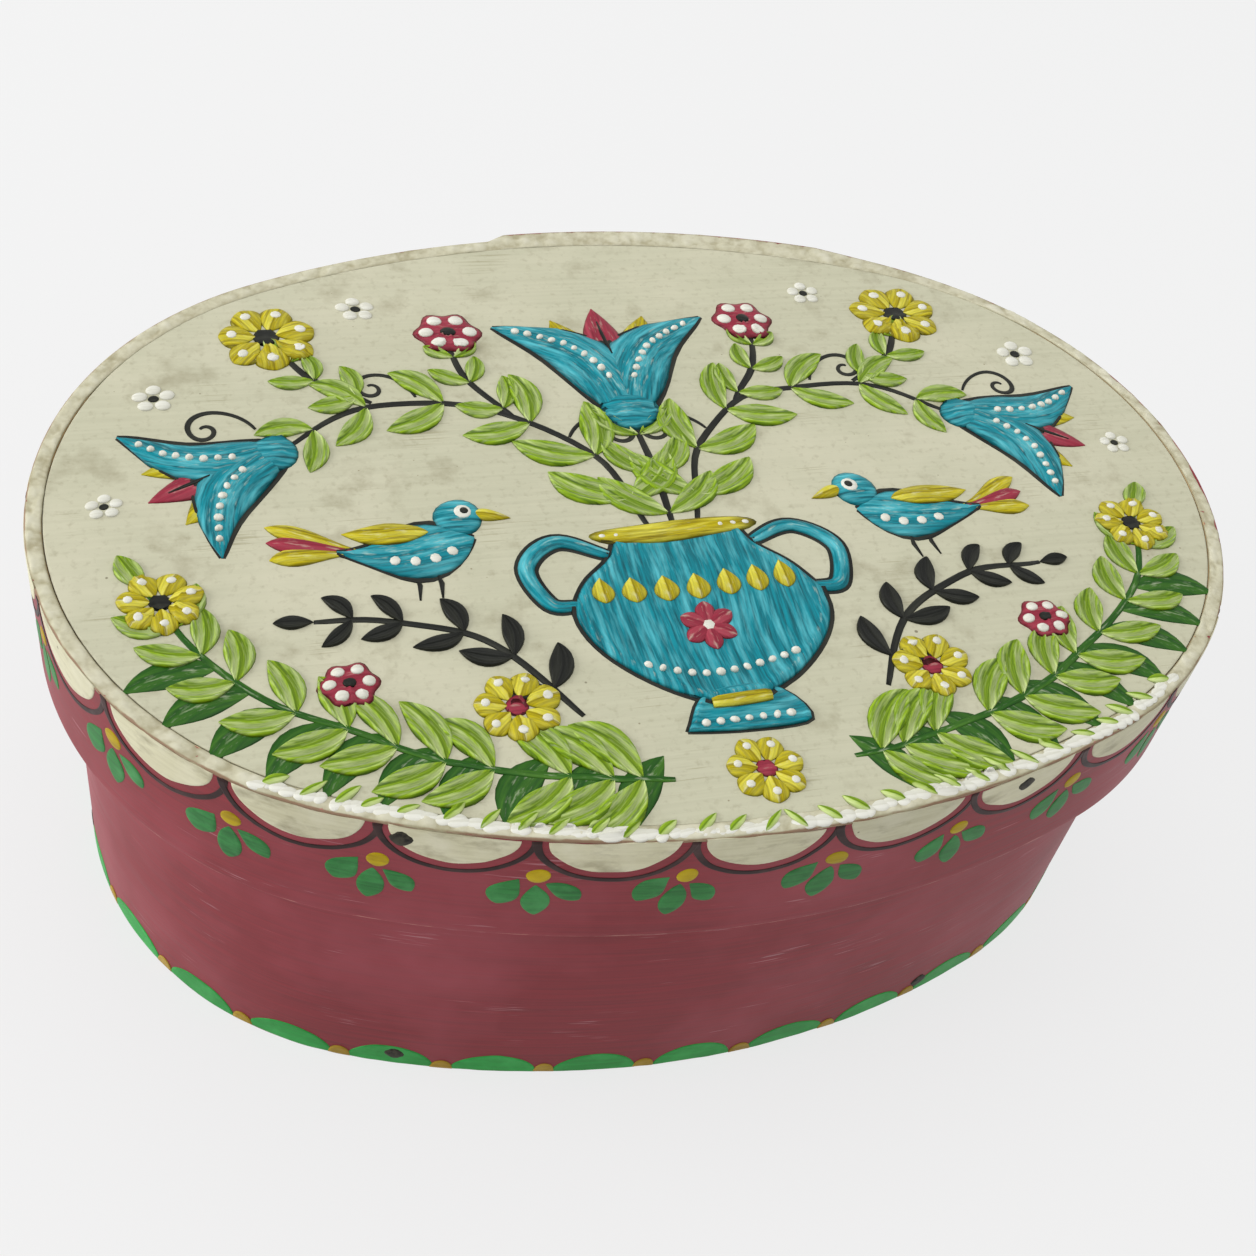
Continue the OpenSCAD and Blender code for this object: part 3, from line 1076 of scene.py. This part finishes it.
def urn(picture, layer):
    """Two-handled urn at the front of the picture, from which the flowers grow."""
    side = ((4.5, -46), (11, -42), (18, -35), (20.5, -27), (17.5, -20), (12.5, -15), (10.5, -11))
    belly = flowing(side, 5)
    outline = belly + [Vector((-spot.x, spot.y)) for spot in reversed(belly)]
    bow = ((12, -14), (20, -11), (26, -16), (24, -24), (19, -25))
    if layer == 0:
        for turn in (1, -1):
            handle = flowing([(turn * x, y) for x, y in bow])
            picture["black"].line(handle, 4.2, 0.5 * LINE, 0.7)
            picture["turquoise"].line(handle, 2.8, RELIEF, 0.6)
        foot = flowing(((-10, -51), (0, -51.8), (10, -51), (5.5, -44), (-5.5, -44), (-10, -51)), 5)[:-1]
        picture["turquoise"].patch(foot, RELIEF, RIMMED)
        picture["black"].line(foot + foot[:1], 0.9, 0.5 * LINE, 0.9)
    elif layer == 1:
        picture["turquoise"].patch(outline, RELIEF, RIMMED, 90)
        picture["black"].line(outline + outline[:1], 1.3, 0.5 * LINE, 0.9)
    else:
        rounds = [math.pi * i / 14 for i in range(28)]
        lip = [Vector((14.5 * math.cos(turn), 2.6 * math.sin(turn) - 10)) for turn in rounds]
        picture["yellow"].patch(lip, RELIEF, DOMED)
        picture.row([Vector((x, -10.0)) for x in range(-12, 13, 2)])
        for i in range(-3, 4):
            top = Vector((4.9 * i, -19.5 - 0.35 * (3 - abs(i))))
            picture["yellow"].leaf(top, top + headed(-90, 5.5), 4.0, 0.7 * RELIEF, 0.6, blunt=0.6)
        picture.row([Vector((x, -37.0 - 3.5 * math.cos(x / 9.0))) for x in range(-12, 13, 2)])
        for i in range(6):
            petal = Vector((0, -31.5)) + headed(60 * i + 30, 4.8)
            picture["crimson"].leaf((0, -31.5), petal, 3.4, 0.7 * RELIEF, 0.6, blunt=0.6)
        picture["white"].dot((0, -31.5), 1.4, DROP)
        picture["yellow"].line([Vector((x, -46.2)) for x in range(-5, 6)], 2.2, RELIEF, 0.8)
        picture.row([Vector((x, -49.8)) for x in range(-7, 8, 2)])


def right_half(picture, layer):
    """Branches, flowers and bird that stand right of the urn, and again left of it as in a mirror."""
    garland = ((14, -58.4), (24, -57), (43, -52), (60, -43), (75, -30), (83, -14))
    for motif, *details in (
        (spray, garland, 11, 14.0, 6.4, "green"),
        (spray, ((4, -9), (9, 9), (24, 22), (45, 24), (59, 15)), 6, 15.0, 6.5, "black"),
        (spray, ((20, 20), (26, 29), (28, 38)), 3, 9.0, 4.2, "black"),
        (spray, ((44, 25), (53, 31), (57, 38)), 3, 9.0, 4.2, "black"),
        (spray, ((24, -46), (33, -32), (45, -25), (60, -23)), 5, 9.5, 4.0, "black", "black"),
        (tulip, (59, 15), -26, 25),
        (rosette, (28, 43), 6.4),
        (daisy, (59, 43), 8.5, "black"),
        (daisy, (33, -43), 6.5, "crimson"),
        (rosette, (56, -36), 4.8),
        (daisy, (81, -17), 6.5, "black"),
        (bird, (43, -10), 21),
        (tendril, (12, 14), 120, 17, 1),
        (tendril, (36, 26), 75, 16, -1),
        (tendril, (64, 20), 60, 16, -1),
        (floret, (79, 29), 3.8),
        (floret, (43, 50), 3.4),
        (floret, (88, 4), 3.0),
    ):
        motif(picture, layer, *details)


def paint_picture():
    """Urn of flowers between two birds, with a garland of leaves along the front."""
    noise.seed_set(HAND_SEED)
    picture = Picture()
    for side in (-1, 1):
        picture.side = side
        border(picture)
    picture.dry()
    for layer in range(3):
        for side in (-1, 1):
            picture.side = side
            right_half(picture, layer)
        spray(picture, layer, ((0, -9), (0, 4), (0, 17)), 3, 14.0, 6.0, "black")
        tulip(picture, layer, (0, 17), 90, 31)
        daisy(picture, layer, (0, -59), 6.0, "crimson")
        urn(picture, layer)
        picture.dry()
    for side in (-1, 1):
        picture.side = side
        rim_dabs(picture)
    return picture


def wood_and_paint():
    """Every finish of the box, by name."""
    brush = {"hairs": (9.0, 9.0, 0.8), "clouds": (6.0, 6.0, 6.0), "roughness": 0.45}
    raised = {"hairs": (9.0, 0.5, 1.0), "clouds": (12.0, 1.5, 1.0), "roughness": 0.36, "coords": "UV"}
    finishes = {}
    # Oil paint brushed round the bent strips: muted red, satin, with long hair streaks and rubbed edges
    marks = (
        scratches("#b08288", (9.0, 9.0, 0.28), 0.5),
        spots("#c9aca8", 13.0, 0.7, 0.45),
        worn_edges("#b98478", 0.46, 0.66),
    )
    shades = ("#70242b", "#832d34", "#94424b")
    streaks = ((24.0, 24.0, 0.55), (38.0, 38.0, 38.0))
    finishes["red"] = brushed_paint("red_oil_paint", shades, *streaks, 0.47, layers=marks, sheen=0.2)
    # Oil paint brushed along the lid board: grey cream, with specks of dirt, and its edge painted dark
    # as painted shade and dirt in the seam
    marks = (
        scratches("#8f8767", (16.0, 0.24, 5.0), 0.5),
        spots("#6f6752", 5.5, 0.6, 0.36),
        spots("#8a8168", 2.3, 0.7, 0.2),
        grime(1.4, 0.54, 0.35),
        grime(9.0, 0.56, 0.55),
        seam_shade_and_dirt,
    )
    shades = ("#b9b79e", "#c0bea5", "#cac6ae")
    streaks = ((38.0, 0.8, 5.0), (30.0, 30.0, 30.0))
    finishes["cream"] = brushed_paint("cream_oil_paint", shades, *streaks, 0.5, layers=marks)
    # Gesso paste dabbed on the rim: cream crumbs with dirt between them, worn to the wood at the edge
    marks = (hollows, worn_edges("#84604c", 0.36, 0.5))
    shades = ("#b5b095", "#c4c0a6", "#cecab3")
    streaks = ((1.2, 1.2, 1.2), (6.0, 6.0, 6.0))
    finishes["paste"] = brushed_paint("cream_gesso_paste", shades, *streaks, 0.6, layers=marks)
    # Thin brushed paint of the friezes, each motif loaded a little differently
    soiled = (spots("#6f6752", 3.0, 0.6, 0.4), grime(7.0, 0.52, 0.7), uneven_tone)
    for name, title, shades, marks in (
        ("scallop", "grey_cream", ("#c2bd9d", "#d1cdae", "#d9d5bb"), soiled),
        ("outline", "charcoal", ("#241616", "#332120", "#4c3634"), ()),
        ("leaf", "leaf_green", ("#22622d", "#32803e", "#489454"), (uneven_tone,)),
        ("ochre", "ochre", ("#967c00", "#b39a00", "#c7ae10"), (uneven_tone,)),
        ("foot_green", "grass_green", ("#248a38", "#2fa048", "#42b058"), (uneven_tone,)),
        ("foot_ochre", "amber", ("#96761c", "#ae8e2c", "#bfa14a"), (uneven_tone,)),
    ):
        finishes[name] = brushed_paint(title + "_brushed_paint", shades, layers=marks, **brush)
    # Thick paint over raised paste: streaky along the stroke, rubbed on the ridges, dark in the hollows
    for name, shades in {
        "turquoise": ("#004851", "#008896", "#66cad4"),
        "lime": ("#2f5200", "#91b21a", "#e4edb2"),
        "green": ("#12400a", "#23560b", "#4a7a20"),
        "yellow": ("#5c4e00", "#baaa00", "#ebe55c"),
        "crimson": ("#701c2c", "#94283c", "#b04a58"),
    }.items():
        finishes[name] = brushed_paint(name + "_raised_paint", shades, layers=(crests,), **raised)
    finishes["white"] = brushed_paint("white_paste_drops", ("#c9c7b8", "#d9d8cc", "#e4e3da"), **raised)
    finishes["black"] = brushed_paint("black_brushed_line", ("#0c0d0a", "#191b16", "#33342b"), **raised)
    # Spruce: planed strips with the grain along the bend, boards with the grain along the box
    finishes["strip_wood"] = softwood("spruce_strip", "#cfb388", "#b08d5c", (60.0, 60.0, 2.2), 0.62)
    finishes["board_wood"] = softwood("spruce_board", "#d3b98e", "#b69562", (120.0, 3.2, 9.0), 0.62)
    # Hardwood pegs, cut across the grain: their ends are painted dark, for end grain darkened by
    # handling and as painted shade of a shallow hole
    finishes["peg"] = softwood("peg_end_grain", "#3b382c", "#15120c", (0.9, 0.9, 0.9), 0.55)
    return finishes


def dress_box(finishes):
    """Strips, boards and pegs, which stand for the CAD nodes."""
    strip = [finishes["red"], finishes["strip_wood"]]
    band = bent_strip("body_strip", body_face, body_lining, 0.0, BODY_HEIGHT, strip)
    settle(band, "box", "red_paint", "body_band")
    band = bent_strip("lid_strip", lid_face, lid_lining, LID_BOTTOM, BOX_HEIGHT, strip)
    settle(band, "lid", "red_paint", "lid_band")
    wood = [finishes["board_wood"]]
    board = oval_board("foot_board", base_board_edge, 0.0, BASE_BOARD, wood)
    settle(board, "box", "bare_wood", "base_board")
    board = oval_board("lid_top", lid_board_edge, BODY_HEIGHT, BOX_HEIGHT, [finishes["cream"]] + wood)
    settle(board, "lid", "cream_paint", "lid_board")
    settle(rim_paste("lid_rim_paste", finishes["paste"]), "lid", "cream_paint")
    row = (lid_face, 0.0, LID_PEG_START, LID_PEG_STRAY, BOX_HEIGHT - LID_BOARD / 2)
    settle(pegs("lid_peg_ends", *row, finishes["peg"]), "lid", "peg_wood", "lid_pegs")
    row = (body_face, BODY_OUTSIDE, BASE_PEG_START, BASE_PEG_STRAY, BASE_BOARD / 2)
    settle(pegs("foot_peg_ends", *row, finishes["peg"]), "box", "peg_wood", "base_pegs")


def paint_sides(finishes):
    """Friezes along the top edge of the lid and the foot of the body."""
    tree = frieze_tree()
    rounds = [PERIMETER * i / GUIDE_STATIONS for i in range(GUIDE_STATIONS)]
    lid = guide("lid_path", [[wall(s, lid_face(s))[0].to_3d() for s in rounds]], True)
    foot = guide("foot_path", [[wall(s, body_face(s))[0].to_3d() for s in rounds]], True)

    def frieze(name, motif, finish, slot, path, start, height, hand):
        """Runs a motif round a path. hand is the sway along and across, the tilt and the waver."""
        along, across, tilt, waver = hand
        count = SCALLOP_COUNT if path is lid else FOOT_COUNT
        row = {"Path": path, "Count": count, "Start": start * MM, "Height": height * MM}
        row["Pitch"] = path.data.splines[0].calc_length() / count
        row |= {"Sway": (along * MM, across * MM, 0.0), "Tilt": (0.0, 0.0, tilt), "Waver": waver * MM}
        piece = motif.piece(name, finishes[finish])
        grown(piece, tree, Seed=FRIEZE_SEED, Paint=finishes[finish], **row)
        settle(piece, "lid" if path is lid else "box", slot)

    edge = BOX_HEIGHT - SCALLOP_INSET
    middle = SCALLOP_CUSP + SCALLOP_PITCH / 2
    moon = half_moon(left=9.5, right=9.1, tall=-7.1, coat=COAT)
    frieze("lid_scallops", moon, "scallop", "cream_paint", lid, middle, edge, (0.15, 0.12, 0.03, 0.9))
    line = scallop_line()
    firm = (0.15, 0.12, 0.0, 0.6)
    frieze("lid_scallop_lines", line, "outline", "brush_black", lid, middle, edge, firm)
    sprig = SCALLOP_CUSP + SPRIG_SHIFT
    low = BOX_HEIGHT - SPRIG_DROP
    loose = (0.5, 0.4, 0.14, 1.2)
    frieze("lid_sprig_leaves", sprig_leaves(), "leaf", "leaf_green", lid, sprig, low, loose)
    frieze("lid_sprig_dots", sprig_dot(), "ochre", "ochre_dot", lid, sprig, low, loose)
    steady = (0.15, 0.12, 0.0, 0.8)
    moon = half_moon(left=7.3, right=7.3, tall=5.1, coat=COAT)
    middle = FOOT_DOT + FOOT_PITCH / 2
    frieze("foot_half_ovals", moon, "foot_green", "leaf_green", foot, middle, FOOT_INSET, steady)
    dot = half_moon(left=1.9, right=1.9, tall=2.4, coat=1.4 * COAT)
    frieze("foot_dots", dot, "foot_ochre", "ochre_dot", foot, FOOT_DOT, FOOT_INSET, steady)
    for path in (lid, foot):
        bpy.data.objects.remove(path)


def paint_lid(finishes):
    """Raised painting on the lid board, one piece for each colour, and its rows of drops."""
    picture = paint_picture()
    slots = {"turquoise": "relief_turquoise", "lime": "relief_green", "green": "relief_green"}
    slots |= {"yellow": "relief_yellow", "crimson": "relief_crimson"}
    slots |= {"white": "relief_white", "black": "brush_black"}
    for colour, paint in picture.paints.items():
        settle(paint.piece("lid_picture_" + colour, finishes[colour]), "lid", slots[colour])
    drop = Paint()
    drop.dot((0.0, 0.0), BEAD_RADIUS, BEAD_HEIGHT, sides=8)
    rows = guide("drop_rows", picture.rows)
    drops = drop.piece("lid_picture_drops", finishes["white"])
    row = {"Path": rows, "Spacing": BEAD_SPACING * MM, "Seed": BEAD_SEED}
    grown(drops, bead_tree(), Paint=finishes["white"], **row)
    settle(drops, "lid", "relief_white")
    bpy.data.objects.remove(rows)


# Stage

CAMERA_PLACE = Vector((-85.43, -196.11, 264.99))
# Degrees about the vertical, up from looking straight down, and about the line of sight
CAMERA_TURN = -23.523
CAMERA_TILT = 43.431
CAMERA_ROLL = 12.317
FOCAL_PIXELS = 1724.9
IMAGE_PIXELS = 1256
SENSOR = 36.0
FLOOR_LIFT = 0.85
# In metres: half the floor, and the spot that the lights point at
FLOOR_HALF = 6.0
LIT_SPOT = Vector((0, 0, 0.03))
# Soft lights: place and size in metres, and power in watts
LIGHTS = {
    "key": ((-1.3, 0.25, 0.5), 0.9, 15.0),
    "fill": ((0.9, -0.6, 0.8), 1.0, 1.5),
    "top": ((0.1, 0.3, 1.4), 1.2, 8.0),
}


def set_camera():
    """Camera at the photograph's viewpoint."""
    camera = bpy.data.cameras.new("camera")
    camera.sensor_width = SENSOR
    camera.lens = SENSOR * FOCAL_PIXELS / IMAGE_PIXELS
    camera.clip_start = 0.01
    holder = bpy.data.objects.new("camera", camera)
    stand = Matrix.Translation(CAMERA_PLACE * MM)
    for angle, axis in ((CAMERA_TURN, "Z"), (CAMERA_TILT, "X"), (CAMERA_ROLL, "Z")):
        stand = stand @ Matrix.Rotation(math.radians(angle), 4, axis)
    holder.matrix_world = stand
    bpy.context.collection.objects.link(holder)
    bpy.context.scene.camera = holder


def softbox(name, place, size, power):
    """Square studio light that points at the box."""
    lamp = bpy.data.lights.new(name, "AREA")
    lamp.size = size
    lamp.energy = power
    holder = bpy.data.objects.new(name, lamp)
    holder.location = place
    aim = LIT_SPOT - Vector(place)
    holder.rotation_euler = aim.to_track_quat("-Z", "Y").to_euler()
    bpy.context.collection.objects.link(holder)


def seen_directly(tree):
    """1 for what the camera sees, also by reflection or through glass, and 0 for what only lights."""
    path = add(tree, "ShaderNodeLightPath").outputs
    inputs = {0: path["Is Camera Ray"], 1: path["Is Glossy Ray"]}
    seen = add(tree, "ShaderNodeMath", inputs, operation="MAXIMUM").outputs[0]
    inputs = {0: seen, 1: path["Is Transmission Ray"]}
    return add(tree, "ShaderNodeMath", inputs, operation="MAXIMUM").outputs[0]


def set_stage():
    """Pale floor, pale surroundings and soft light."""
    floor_mesh = bpy.data.meshes.new("floor")
    turns = ((-1, -1), (1, -1), (1, 1), (-1, 1))
    corners = [(x * FLOOR_HALF, y * FLOOR_HALF, 0) for x, y in turns]
    floor_mesh.from_pydata(corners, [], [(0, 1, 2, 3)])
    floor = bpy.data.objects.new("floor", floor_mesh)
    bpy.context.collection.objects.link(floor)
    # Matt white paper, which a bright exposure lifts towards white and leaves a faint shadow on
    paper = bpy.data.materials.new("white_paper")
    paper.use_nodes = True
    tree = paper.node_tree
    shader = tree.nodes["Principled BSDF"]
    shader.inputs["Base Color"].default_value = linear("#f2f2f2")
    shader.inputs["Roughness"].default_value = 0.9
    glow = add(tree, "ShaderNodeEmission", {"Color": "#f0f0f0"}).outputs[0]
    inputs = {0: seen_directly(tree), 1: FLOOR_LIFT}
    lift = add(tree, "ShaderNodeMath", inputs, operation="MULTIPLY").outputs[0]
    lifted = add(tree, "ShaderNodeMixShader", {0: lift, 1: shader.outputs[0], 2: glow}).outputs[0]
    tree.links.new(lifted, tree.nodes["Material Output"].inputs["Surface"])
    floor_mesh.materials.append(paper)

    world = bpy.data.worlds.new("studio")
    world.use_nodes = True
    tree = world.node_tree
    light = tree.nodes["Background"]
    light.inputs["Color"].default_value = linear("#f4f5f6")
    light.inputs["Strength"].default_value = 0.6
    seen = add(tree, "ShaderNodeBackground", {"Color": "#f3f3f3", "Strength": 1.0})
    inputs = {0: seen_directly(tree), 1: light.outputs[0], 2: seen.outputs[0]}
    both = add(tree, "ShaderNodeMixShader", inputs)
    tree.links.new(both.outputs[0], tree.nodes["World Output"].inputs["Surface"])
    bpy.context.scene.world = world

    for name, lamp in LIGHTS.items():
        softbox(name, *lamp)


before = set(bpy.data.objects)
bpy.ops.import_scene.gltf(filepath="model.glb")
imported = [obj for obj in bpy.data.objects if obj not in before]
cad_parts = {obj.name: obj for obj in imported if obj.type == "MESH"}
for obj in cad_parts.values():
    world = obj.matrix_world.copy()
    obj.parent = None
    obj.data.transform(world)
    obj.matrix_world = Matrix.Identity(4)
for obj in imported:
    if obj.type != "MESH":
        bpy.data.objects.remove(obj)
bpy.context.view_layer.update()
bpy.context.scene.view_settings.view_transform = "Standard"
finishes = wood_and_paint()
dress_box(finishes)
paint_sides(finishes)
paint_lid(finishes)
for tacks in ("lid_tacks", "body_tacks"):
    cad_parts[tacks].data.materials.clear()
    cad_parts[tacks].data.materials.append(finishes["red"])
set_camera()
set_stage()
